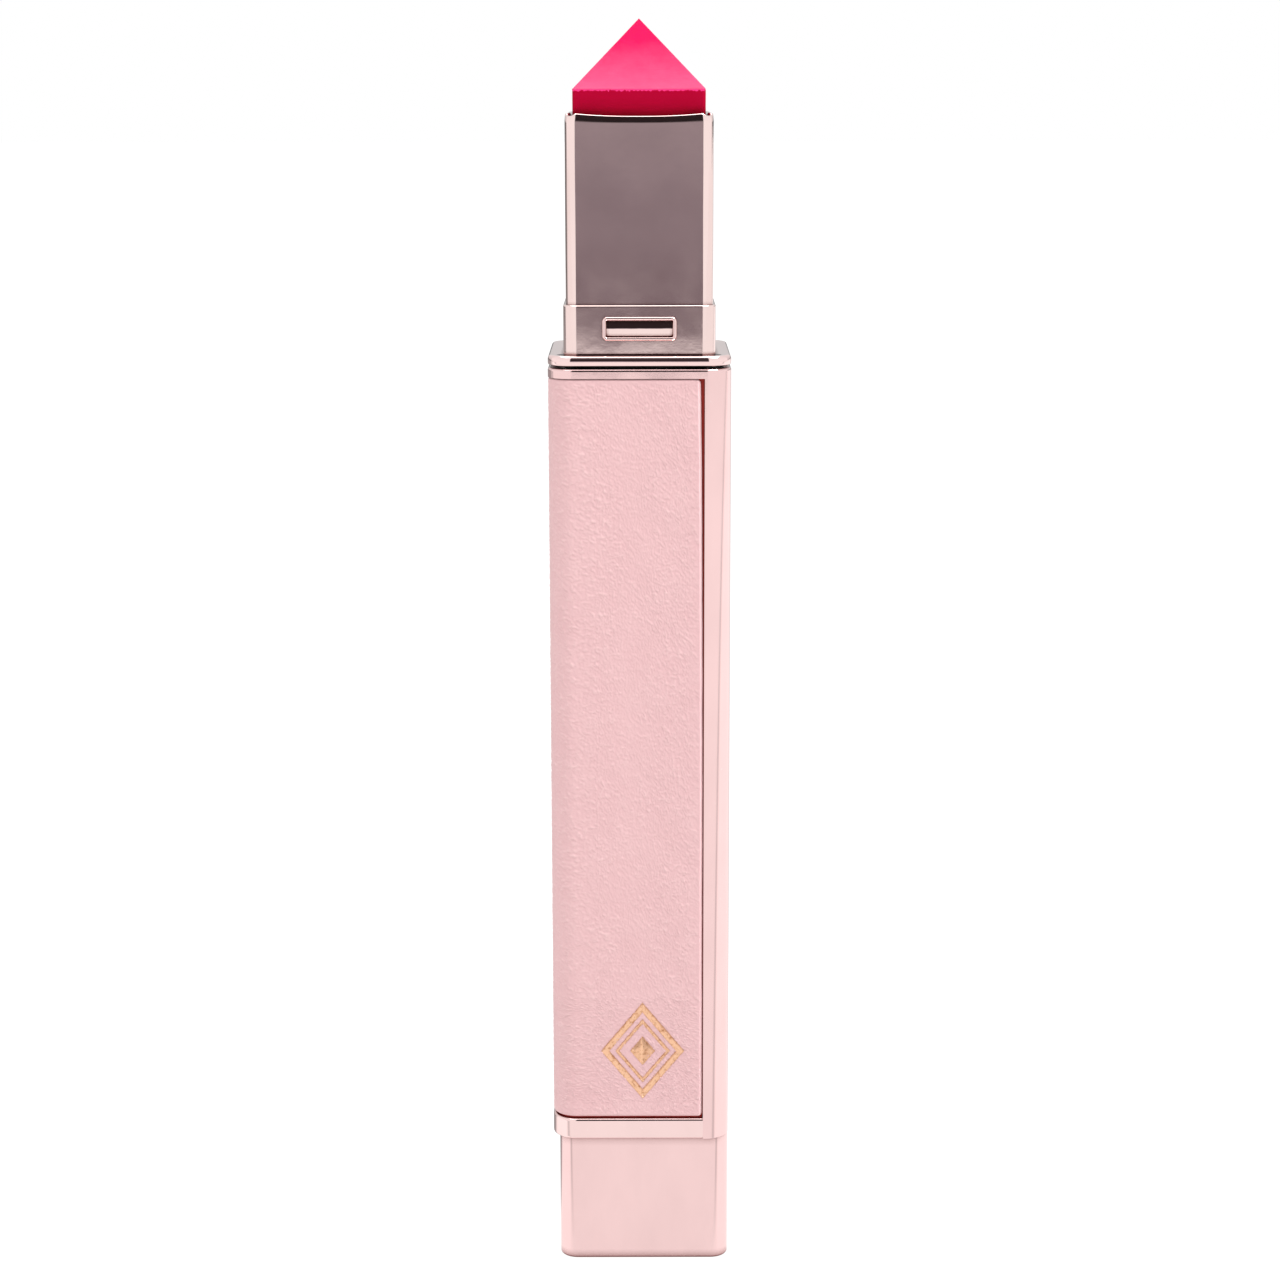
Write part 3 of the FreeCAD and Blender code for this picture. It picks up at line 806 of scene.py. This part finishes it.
# ---- Plated sleeve ----------------------------------------------------------
SLEEVE_WALL = 0.45 * MM
SLEEVE_CORNER = 0.85 * MM
ROLL_IN = 0.045 * MM      # how far the wall leans in under the rim
ROLL_H = 0.70 * MM
RIM_R = 0.12 * MM
RIM_DIP = 0.27 * MM       # the rim is lower in the middle of each wall
DIP_H = 1.4 * MM          # height over which the dip fades out
DIP_POWER = 2.4
SLEEVE_WAVE = 0.006 * MM  # slight unevenness of the outer wall
WAVE_LONG = (3.1 * MM, 4.3 * MM)


def sleeve_profile(lo, hi):
    """(half width, height) from the foot of the outer wall, over the rim, down the bore."""
    outer, bore = hi.x, hi.x - SLEEVE_WALL
    profile = [(outer, z) for z in np.linspace(lo.z, hi.z - ROLL_H, 40)]
    for t in np.linspace(0.08, 1.0, 12):
        profile.append((outer - ROLL_IN * t * t, hi.z - ROLL_H + (ROLL_H - RIM_R) * t))
    for a in np.radians(range(15, 91, 15)):
        profile.append((outer - ROLL_IN - RIM_R * (1 - math.cos(a)), hi.z - RIM_R * (1 - math.sin(a))))
    for a in np.radians(range(90, -1, -30)):
        profile.append((bore + RIM_R * (1 - math.sin(a)), hi.z - RIM_R * (1 - math.sin(a))))
    return profile + [(bore, z) for z in np.linspace(hi.z - 0.5 * MM, lo.z, 12)]


def build_sleeve():
    """Thin square sleeve with a rolled-in rim that dips between the corners."""
    lo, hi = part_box("inner_sleeve")
    rings = []
    for half, z in sleeve_profile(lo, hi):
        radius = SLEEVE_CORNER - (hi.x - half)
        fade = float(smoothstep(hi.z - DIP_H, hi.z, z))
        outside = half > hi.x - SLEEVE_WALL + 0.2 * MM
        ring = []
        for x, y, nx, ny in square_ring(half, radius, 46, 10):
            along = along_side(x, y, nx, ny)
            dip = RIM_DIP * (1 - min(abs(along) / half, 1.0) ** DIP_POWER) * fade
            wave = point_noise(along / WAVE_LONG[0] + side_shift(nx, ny), z / WAVE_LONG[1], 91)
            push = -SLEEVE_WAVE * (1 + wave) if outside else 0.0
            ring.append(Vector((x + nx * push, y + ny * push, z - dip)))
        rings.append(ring)
    made = ring_object("plated_sleeve", rings, FINISHES["rose_mirror"])
    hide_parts("inner_sleeve")
    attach(made, "turning_sleeve")


# ---- Flange -----------------------------------------------------------------
CROWN_FROM = 0.42         # share of the flange's height that stays nearly upright
CROWN_LEAN = 0.014 * MM
CROWN_IN = 0.30 * MM      # how far the crown comes in at the top
CROWN_POWER = 2.4
FOOT_IN = 0.3 * CROWN_IN  # how far the lower edge is turned in
FOOT_FADE = 0.03          # share of the height over which it comes back out
FLANGE_BORE = 1.95 * MM   # width of the plate's ring
FLANGE_WAVE = 0.002 * MM


def flange_profile(lo, hi):
    """(half width, height) up the edge, over the crown, in to the bore and back underneath."""
    tall = hi.z - lo.z
    bore = hi.x - FLANGE_BORE
    profile = []
    for s in np.linspace(0, CROWN_FROM, 9):
        lean = CROWN_LEAN * (1 - s / CROWN_FROM) + FOOT_IN * math.exp(-s / FOOT_FADE)
        profile.append((hi.x - lean, lo.z + s * tall))
    for s in np.sin(np.linspace(0.08, 1, 18) * math.pi / 2):
        crown = CROWN_IN * (1 - (1 - s ** CROWN_POWER) ** (1 / CROWN_POWER))
        profile.append((hi.x - crown, lo.z + (CROWN_FROM + (1 - CROWN_FROM) * s) * tall))
    return profile + [(hi.x - 0.45 * MM, hi.z), (bore, hi.z), (bore, lo.z + tall * 0.5), (bore, lo.z),
                      (hi.x - 0.6 * MM, lo.z)]


def build_flange():
    """Thin square flange: lower part nearly upright, upper part crowned back to the top face."""
    lo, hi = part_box("flange_plate")
    rings = []
    for half, z in flange_profile(lo, hi):
        inset = hi.x - half
        radius = CORNER - inset if inset < 1.2 * MM else 0.5 * MM
        ring = []
        for x, y, nx, ny in square_ring(half, radius, 46, 12):
            wave = point_noise(along_side(x, y, nx, ny) / (2.2 * MM), z / (0.9 * MM), 97)
            push = -FLANGE_WAVE * (1 + wave)
            ring.append(Vector((x + nx * push, y + ny * push, z)))
        rings.append(ring)
    made = ring_object("plated_flange", rings, FINISHES["rose_gold_trim"])
    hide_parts("flange_plate")
    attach(made, "turning_sleeve")


# ---- Catch windows in the collar --------------------------------------------
BEZEL_W = 0.27 * MM
BEZEL_CORNER = 0.24 * MM
BEZEL_DEEP = 0.19 * MM    # how far the bezel's back reaches into the collar
RIDGE = 0.150 * MM        # height of the ridge across the catch face
RIDGE_LEVEL = 1.06        # keeps the foot of the ridge just above the face's edge
RIDGE_ROUND = 0.16        # share of the height over which the ridge is rounded
PILLOW = 0.03 * MM        # the face falls away at its left and right ends
PILLOW_POWER = 10
CATCH_WEAR = 0.003 * MM
CATCH_DEEP = 0.21 * MM    # depth of the catch face's edges behind the collar
CATCH_THICK = 0.21 * MM
CATCH_OVER = 0.35         # share of the bezel's width between its middle line and the catch face
ARC_STEPS = 7             # window outline: steps round a corner, along a long and a short side
LONG_STEPS, SHORT_STEPS = 20, 5


def window_ring(half_x, half_z, radius, mid_z):
    """Rounded rectangle in the front plane: list of (x, z)."""
    corners = ((1, 1), (-1, 1), (-1, -1), (1, -1))

    def at(k, turn):
        """Point on corner k's arc at an angle in quarter turns."""
        a = turn * math.pi / 2
        return (corners[k][0] * (half_x - radius) + radius * math.cos(a),
                mid_z + corners[k][1] * (half_z - radius) + radius * math.sin(a))

    ring = []
    for k in range(4):
        ring += [at(k, k + i / ARC_STEPS) for i in range(ARC_STEPS + 1)]
        start, end = ring[-1], at((k + 1) % 4, k + 1)
        steps = LONG_STEPS if k in (0, 2) else SHORT_STEPS
        ring += [(start[0] + (end[0] - start[0]) * i / steps, start[1] + (end[1] - start[1]) * i / steps)
                 for i in range(1, steps)]
    return ring


def build_bezel(end, turn, face):
    """Raised rounded eyelet round a window of the collar; gives its middle line's half sizes and height."""
    lo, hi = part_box("catch_bezel_" + end)
    proud = max(abs(lo.y), abs(hi.y)) - face
    mid_z = (lo.z + hi.z) / 2
    half_x = (hi.x - lo.x) / 2 - BEZEL_W / 2
    half_z = (hi.z - lo.z) / 2 - BEZEL_W / 2
    section = [(0.5, -0.01 * MM)]
    section += [(0.5 * math.cos(a), proud * math.sin(a)) for a in np.radians(range(0, 181, 15))]
    section += [(-0.5, -BEZEL_DEEP), (-0.2, -BEZEL_DEEP), (0.2, -0.1 * MM)]
    rings = []
    for across, out in section:
        offset = across * BEZEL_W
        outline = window_ring(half_x + offset, half_z + offset, BEZEL_CORNER + offset, mid_z)
        rings.append([Vector((turn * -x, turn * (face + out), z)) for x, z in outline])
    bezel = ring_object("bezel_" + end, rings, FINISHES["rose_gold_trim"])
    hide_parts("catch_bezel_" + end)
    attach(bezel, "turning_sleeve")
    return half_x, half_z, mid_z


def build_catch(end, turn):
    """Bezel and the ridged plate inside it, on the front or the rear."""
    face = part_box("sleeve_collar")[1].y
    half_x, half_z, mid_z = build_bezel(end, turn, face)
    wide, tall = half_x - BEZEL_W * CATCH_OVER, half_z - BEZEL_W * CATCH_OVER
    rows, columns = 33, 61
    front, back = [], []
    for v in np.linspace(-1, 1, rows):
        for u in np.linspace(-1, 1, columns):
            ridge = RIDGE * (RIDGE_LEVEL - math.hypot(v, RIDGE_ROUND))
            pillow = PILLOW * (1 - abs(u) ** PILLOW_POWER)
            worn = CATCH_WEAR * point_noise(u * 5.0, v * 2.0, 95)
            x, z = turn * -u * wide, mid_z + v * tall
            front.append(Vector((x, turn * (face - CATCH_DEEP + ridge + pillow + worn), z)))
            back.append(Vector((x, turn * (face - CATCH_DEEP - CATCH_THICK), z)))
    border = grid_border(rows, columns)
    faces = grid_faces(rows, columns) + grid_faces(rows, columns, len(front))
    faces += loop_faces(border, [i + len(front) for i in border])
    plate = closed_object("catch_face_" + end, front + back, faces, FINISHES["rose_mirror"])
    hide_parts("catch_plate_" + end)
    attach(plate, "turning_sleeve")


# ---- Wax bullet -------------------------------------------------------------
BULLET_ARRIS = 0.22 * MM
FACET_ARRIS = 0.45        # share of that radius on the facets' arrises
CUP_GAP = 0.02 * MM       # wax above the cup's rim
CUP_WALL = 0.45 * MM
CUP_FLOOR = 0.85 * MM
SHOULDER_SLUMP = 0.012 * MM
SHOULDER_BAND = 0.10 * MM  # height of the crumbly stretch round the shoulder
WAVE, CRUMB, DRAG = 0.010, 0.050, 0.007   # unevenness of the wax, in millimetres


def bullet_levels():
    """(height, half width) of each ring, up the walls and up the facets."""
    half = bullet_hi.x
    rise = bullet_hi.z - SHOULDER_Z
    levels = [(float(z), half) for z in np.linspace(cup_hi.z + CUP_GAP, SHOULDER_Z - 0.12 * MM, 60)]
    for t in (0.0, 0.008, 0.016, 0.026, 0.04, 0.06):
        levels.append((SHOULDER_Z + rise * t, half * (1 - t) - SHOULDER_SLUMP * math.exp(-t * 60)))
    for t in np.linspace(0.09, 0.985, 60):
        levels.append((SHOULDER_Z + rise * float(t), half * (1 - float(t))))
    return levels


def bullet_ring(z, half):
    """Points of one ring, pushed out by waves, drag marks and the shoulder's crumbs."""
    radius = min(BULLET_ARRIS, half * 0.5) * (1.0 if z < SHOULDER_Z else FACET_ARRIS)
    near = math.exp(-((z - SHOULDER_Z) / SHOULDER_BAND) ** 2)
    level = z / MM
    ring = []
    for x, y, nx, ny in square_ring(half, radius):
        along = along_side(x, y, nx, ny) / MM
        side = side_shift(nx, ny)
        wave = WAVE * point_noise(along / 2.3 + side, level / 1.9, 81)
        crumb = CRUMB * near * point_noise(along / 0.22 + side, level / 0.2, 82)
        mark = DRAG * point_noise(along / 1.6 + side, level / 0.12, 83)
        push = (wave + crumb + mark) * MM if half > 0.3 * MM else 0.0
        ring.append(Vector((x + nx * push, y + ny * push, z + abs(crumb) * 0.4 * MM)))
    return ring


def build_bullet():
    """Square wax bullet with four flat facets, soft arrises, a worn shoulder and a plug in its cup."""
    verts = [point for z, half in bullet_levels() for point in bullet_ring(z, half)]
    count = len(square_ring(bullet_hi.x, BULLET_ARRIS))
    faces = grid_faces(len(verts) // count, count, closed=True)
    last = range(len(verts) - count, len(verts))
    neck = range(len(verts), len(verts) + count)
    foot = range(len(verts) + count, len(verts) + 2 * count)
    plug = square_ring(cup_hi.x - CUP_WALL, 0.2 * MM)
    for z in (cup_hi.z + CUP_GAP, cup_lo.z + CUP_FLOOR):
        verts += [Vector((x, y, z)) for x, y, _, _ in plug]
    faces += loop_faces(neck, range(count)) + loop_faces(neck, foot)
    faces.append(tuple(foot))
    verts.append(Vector((0, 0, bullet_hi.z)))
    tip = len(verts) - 1
    faces += [(here, last[(k + 1) % count], tip) for k, here in enumerate(last)]
    made = closed_object("wax_bullet", verts, faces, FINISHES["lip_wax"])
    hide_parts("bullet")
    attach(made, "bullet_lift")


# ---- Stage and light --------------------------------------------------------
FLOOR_FRONT = -0.762          # past this edge the metal sees the room instead of the floor
FLOOR_SIDE, FLOOR_REAR = 3.0, 4.0
FLOOR_GLOW = 0.93
FLOOR_TINT = (1, 0.985, 0.98)
STREAK_REACH = 0.65           # distance over which the two streaks bend outward
STREAK_FROM = math.radians(33)
STREAK_TURN = math.radians(69)
WHITE = (1, 1, 1)


def build_floor():
    """Pale floor that ends well in front of the object; the metal sees soft streaks in it."""
    s = Shader("pale_floor", (0.09, 0.09, 0.09), 0.9)
    mottle = s.noise(s.coords(scale=(0.02, 0.02, 0.02)), 1.0)
    s.colour(s.mix(mottle, (0.08, 0.08, 0.08), (0.10, 0.10, 0.10)))
    s.bsdf.inputs["Specular IOR Level"].default_value = 0.0

    x, y, _ = s.split(s.node("ShaderNodeTexCoord").outputs["Object"])
    signed = s.calc("ARCTAN2", x, s.calc("MULTIPLY", y, -1.0))
    reach = s.calc("SQRT", s.calc("ADD", s.calc("MULTIPLY", x, x), s.calc("MULTIPLY", y, y)))
    bend = s.calc("MULTIPLY", s.calc("POWER", s.calc("DIVIDE", reach, STREAK_REACH), 0.7), STREAK_TURN)
    beside = s.calc("SUBTRACT", s.calc("ABSOLUTE", signed), s.calc("ADD", bend, STREAK_FROM))
    streak = s.spread(s.calc("ABSOLUTE", beside), math.radians(1), math.radians(7), 0.32, 0.0)
    streak = s.calc("MULTIPLY", streak, s.spread(reach, 0.012, 0.030, 0.0, 1.0))
    outside = s.spread(beside, 0.0, math.radians(10), 0.0, 0.14)
    left_back = s.spread(signed, math.radians(-100), math.radians(-122), 0.0, 0.80)
    right_back = s.spread(signed, math.radians(135), math.radians(160), 0.0, 0.40)
    # painted shade on the floor close to the object, seen only in reflections
    near = s.spread(reach, 0.01, 0.35, 0.08, 0.0)
    darker = s.calc("ADD", s.calc("ADD", streak, s.calc("ADD", left_back, right_back)), near)
    level = s.calc("SUBTRACT", s.calc("ADD", FLOOR_GLOW, outside), darker)
    s.link(s.calc("MAXIMUM", level, s.camera_ray()), s.bsdf.inputs["Emission Strength"])
    s.bsdf.inputs["Emission Color"].default_value = (*FLOOR_TINT, 1)

    verts = [(-FLOOR_SIDE, FLOOR_FRONT, 0), (FLOOR_SIDE, FLOOR_FRONT, 0),
             (FLOOR_SIDE, FLOOR_REAR, 0), (-FLOOR_SIDE, FLOOR_REAR, 0)]
    floor = new_object("floor", verts, [(0, 1, 2, 3)], s.mat)


# Ramps over height run from straight down (0) over the horizon (0.5) to straight up (1), and
# ramps over turn run from straight ahead of the object's front (0) to straight behind it (1).
ROOM_AHEAD = [(0.0, 0.92), (0.44, 0.92), (0.452, (0.20, 0.165, 0.185)), (0.474, (0.215, 0.180, 0.200)),
              (0.488, (0.285, 0.250, 0.278)), (0.497, (0.36, 0.32, 0.345)), (0.525, (0.02, 0.015, 0.016)),
              (0.62, (0.03, 0.02, 0.022)), (0.68, (0.10, 0.08, 0.09)), (0.74, (0.03, 0.02, 0.02)),
              (0.84, 0.1), (0.88, 1.0), (1.0, 1.1)]
ROOM_SIDES = [(0.0, 1.0), (0.5, 1.06), (0.7, 0.98), (1.0, 1.05)]
ROOM_BEHIND = [(0.0, 0.4), (0.49, 0.10), (0.5, 0.10), (0.515, 0.62), (0.6, 0.85), (1.0, 1.05)]
AHEAD_TO_SIDES = [(0.0, 0.0), (0.062, 0.0), (0.072, 1.0), (1.0, 1.0)]
SIDES_TO_BEHIND = [(0.0, 0.0), (0.61, 0.0), (0.65, 0.75), (0.80, 1.0), (1.0, 1.0)]


def build_world():
    """White studio; reflections see soft light at the sides and above and a darker room ahead."""
    world = bpy.data.worlds.new("studio")
    bpy.context.scene.world = world
    world.use_nodes = True
    world.node_tree.nodes.clear()
    g = Graph(world.node_tree)

    x, y, z = g.split(g.node("ShaderNodeTexCoord").outputs["Generated"])
    bearing = g.calc("ABSOLUTE", g.calc("ARCTAN2", x, g.calc("MULTIPLY", y, -1.0)))
    turn = g.calc("DIVIDE", bearing, math.pi)
    height = g.calc("ADD", g.calc("DIVIDE", g.calc("ARCSINE", z), math.pi), 0.5)
    room = g.mix(g.ramp(turn, AHEAD_TO_SIDES), g.ramp(height, ROOM_AHEAD), g.ramp(height, ROOM_SIDES))
    room = g.mix(g.ramp(turn, SIDES_TO_BEHIND), room, g.ramp(height, ROOM_BEHIND))

    background = g.node("ShaderNodeBackground")
    g.link(g.mix(g.camera_ray(), room, WHITE), background.inputs["Color"])
    g.link(background.outputs[0], g.node("ShaderNodeOutputWorld").inputs[0])


def soft_light(name, place, target, size, power):
    """Square area light aimed at a point."""
    data = bpy.data.lights.new(name, "AREA")
    data.shape = "SQUARE"
    data.size = size
    data.energy = power
    lamp = bpy.data.objects.new(name, data)
    lamp.location = place
    lamp.rotation_mode = "QUATERNION"
    lamp.rotation_quaternion = (Vector(target) - Vector(place)).to_track_quat("-Z", "Y")
    bpy.context.scene.collection.objects.link(lamp)
    lamp.visible_camera = False


# ---- Camera -----------------------------------------------------------------
CAMERA_DISTANCE = 0.2083      # from the front face of the base
CAMERA_HEIGHT = 0.0935
CAMERA_TILT = 11.5            # degrees below the horizon
CAMERA_ROLL = -0.10           # degrees
CAMERA_LENS = 77.6            # millimetres on a 36 mm sensor


def build_camera():
    data = bpy.data.cameras.new("camera")
    data.lens = CAMERA_LENS
    data.sensor_width = 36.0
    data.clip_start = 0.01
    data.clip_end = 20.0
    camera = bpy.data.objects.new("camera", data)
    camera.location = (0, -HALF - CAMERA_DISTANCE, CAMERA_HEIGHT)
    level = Matrix.Rotation(math.radians(90 - CAMERA_TILT), 4, "X")
    roll = Matrix.Rotation(math.radians(CAMERA_ROLL), 4, "Z")
    camera.rotation_euler = (level @ roll).to_euler()
    bpy.context.scene.collection.objects.link(camera)
    bpy.context.scene.camera = camera


paint_cad_nodes()
build_wrap()
build_foil()
build_sleeve()
build_flange()
build_catch("front", -1)
build_catch("rear", 1)
build_bullet()
build_floor()
build_world()
soft_light("top_softbox", (0.0, 0.05, 0.78), (0, 0, 0.06), 0.7, 4.2)
soft_light("grazing_light", (0.20, -0.13, 0.50), (0, 0, 0.05), 0.20, 1.6)
build_camera()
bpy.context.scene.view_settings.view_transform = "Standard"
